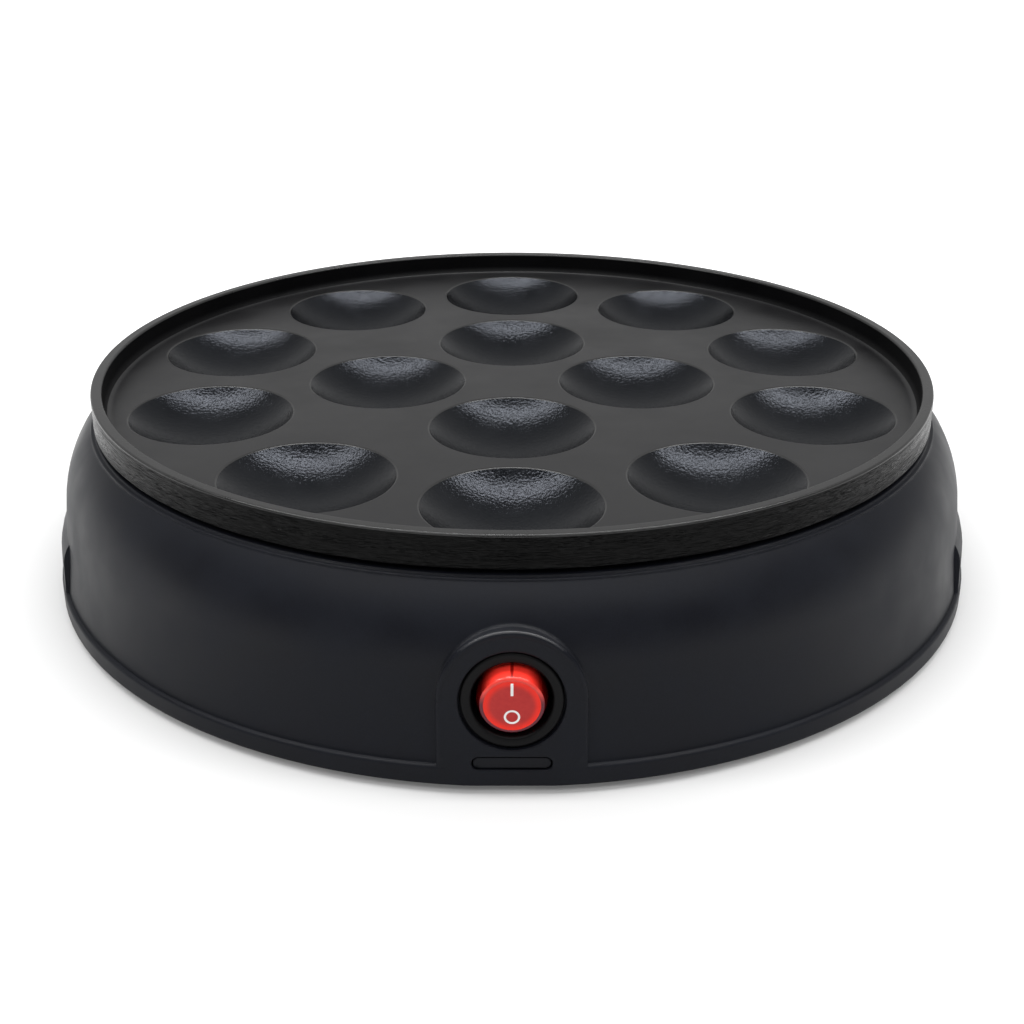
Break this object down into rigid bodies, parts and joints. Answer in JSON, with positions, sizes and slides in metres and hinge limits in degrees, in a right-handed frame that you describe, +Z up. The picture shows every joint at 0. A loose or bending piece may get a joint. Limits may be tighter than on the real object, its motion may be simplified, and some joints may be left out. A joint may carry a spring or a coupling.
{
  "type": "poffertjes maker",
  "caption": "Round electric griddle for small pancakes: a dark cast plate with shallow cups and a low rim, on a rounded black housing with an arched boss for a red rocker switch.",
  "frame": {"origin": "on the table under the plate's centre", "axes": "+Z up, -Y out of the switch's face, +X to the right as one faces the switch"},
  "size_m": [0.257, 0.2576, 0.0574],
  "materials": {
    "plate_coating": "cast, with a dark grey non-stick coating",
    "housing_plastic": "blue-black, finely spark-eroded",
    "base_plastic": "black, moulded",
    "zinc_steel": "zinc plated",
    "foot_rubber": "matt",
    "heater_sheath": "annealed grey",
    "aluminium_sheet": "mill finish",
    "white_ceramic": "unglazed",
    "brass_tab": "bare",
    "phenolic_brown": "moulded",
    "tinned_brass": "tinned",
    "aluminised_steel": "aluminised sheet",
    "mica": "pressed mica",
    "switch_black": "moulded, fine satin",
    "rocker_red": "translucent red, polished",
    "lamp_glass": "clear",
    "white_nylon": "moulded",
    "spring_steel": "drawn wire",
    "copper_alloy": "bare",
    "gland_black": "moulded",
    "sleeve_brown": "insulating sleeve",
    "sleeve_black": "insulating sleeve",
    "sleeve_white": "insulating sleeve",
    "sleeve_blue": "insulating sleeve",
    "sleeve_green": "insulating sleeve"
  },
  "bodies": {
    "body": {"baking_plate": "plate_coating", "housing": "housing_plastic", "base_cover": "base_plastic", "base_screws": "zinc_steel", "foot_front_left": "foot_rubber", "foot_front_right": "foot_rubber", "foot_rear_left": "foot_rubber", "foot_rear_right": "foot_rubber", "heating_element": "heater_sheath", "heater_cover": "aluminium_sheet", "cover_screws": "zinc_steel", "heater_beads": "white_ceramic", "heater_tabs": "brass_tab", "thermostat_cap": "aluminium_sheet", "thermostat_body": "phenolic_brown", "thermostat_blades": "brass_tab", "thermostat_screws": "zinc_steel", "thermal_fuse": "tinned_brass", "fuse_clip": "zinc_steel", "heat_shield": "aluminised_steel", "insulating_washers": "mica", "plate_screws": "zinc_steel", "switch_body": "switch_black", "switch_terminals": "brass_tab", "terminal_block": "white_nylon", "block_screws": "brass_tab", "cord_gland": "gland_black", "gland_nut": "gland_black", "earth_tag": "brass_tab", "earth_screw": "zinc_steel", "earth_nut": "zinc_steel", "wire_live": "sleeve_brown", "wire_switched": "sleeve_black", "wire_fuse": "sleeve_white", "wire_heater": "sleeve_white", "wire_neutral": "sleeve_blue", "wire_lamp": "sleeve_blue", "wire_earth": "sleeve_green"},
    "rocker": {"switch_rocker": "rocker_red", "switch_lamp": "lamp_glass", "switch_plunger": "white_nylon", "plunger_spring": "spring_steel"},
    "contact_lever": {"contact_lever": "copper_alloy"}
  },
  "joints": [
    {"name": "rocker_tilt", "type": "hinge", "parent": "body", "child": "rocker", "pos_m": [0, -0.12329, 0.02235], "axis": [-1, 0, 0], "range_deg": [0, 14]},
    {"name": "lever_tilt", "type": "hinge", "parent": "body", "child": "contact_lever", "pos_m": [0, -0.11611, 0.02178], "axis": [1, 0, 0], "range_deg": [0, 10]}
  ],
  "couplings": [
    {"joint": "lever_tilt", "follows": "rocker_tilt", "ratio": 0.71429}
  ]
}
